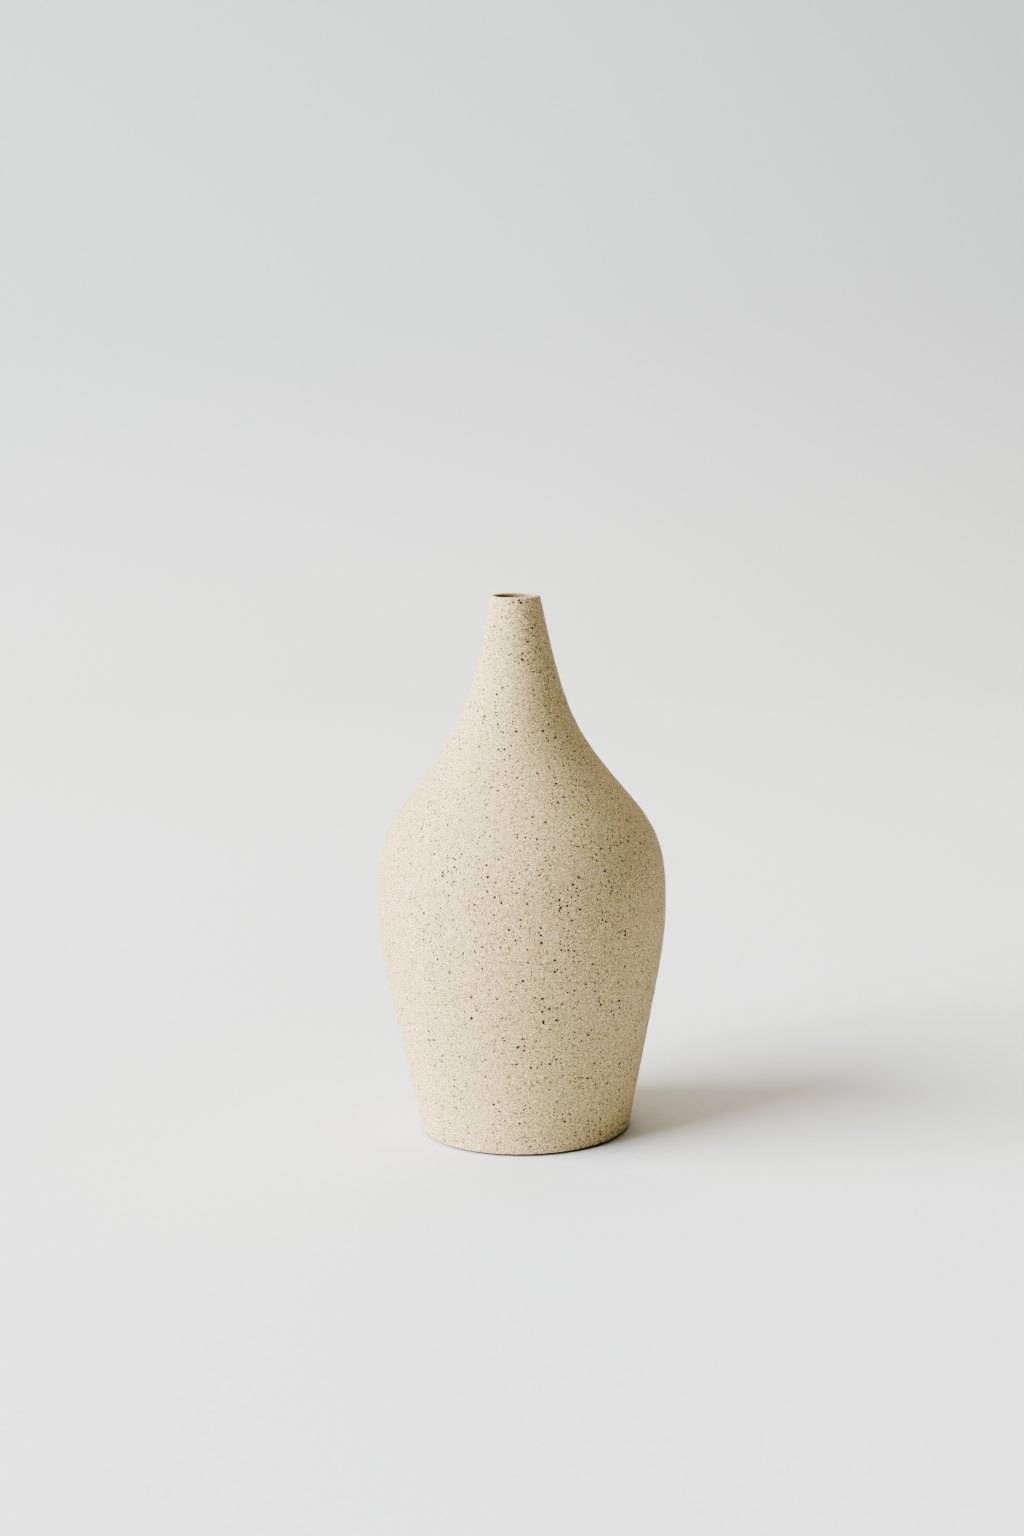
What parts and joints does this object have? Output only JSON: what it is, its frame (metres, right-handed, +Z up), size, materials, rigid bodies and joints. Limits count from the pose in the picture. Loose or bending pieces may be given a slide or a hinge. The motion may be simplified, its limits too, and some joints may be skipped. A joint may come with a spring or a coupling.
{
  "type": "stoneware vase",
  "caption": "Wheel-thrown bottle vase: tapered foot, full belly, and shoulders drawn in to a slender hollow neck with a thin rounded lip.",
  "frame": {"origin": "centre of the ring that the vase rests on, in the plane of the table", "axes": "+Z up, along the axis that the vase was thrown on; it is round about +Z, so +X and +Y may point anywhere"},
  "size_m": [0.1076, 0.1074, 0.2],
  "materials": {
    "speckled_clay": "matte",
    "liner_glaze": "gloss"
  },
  "bodies": {
    "root": {"foot_base": "speckled_clay", "belly_wall": "speckled_clay", "shoulder_wall": "speckled_clay", "neck": "speckled_clay", "liner_glaze": "liner_glaze"}
  },
  "joints": []
}
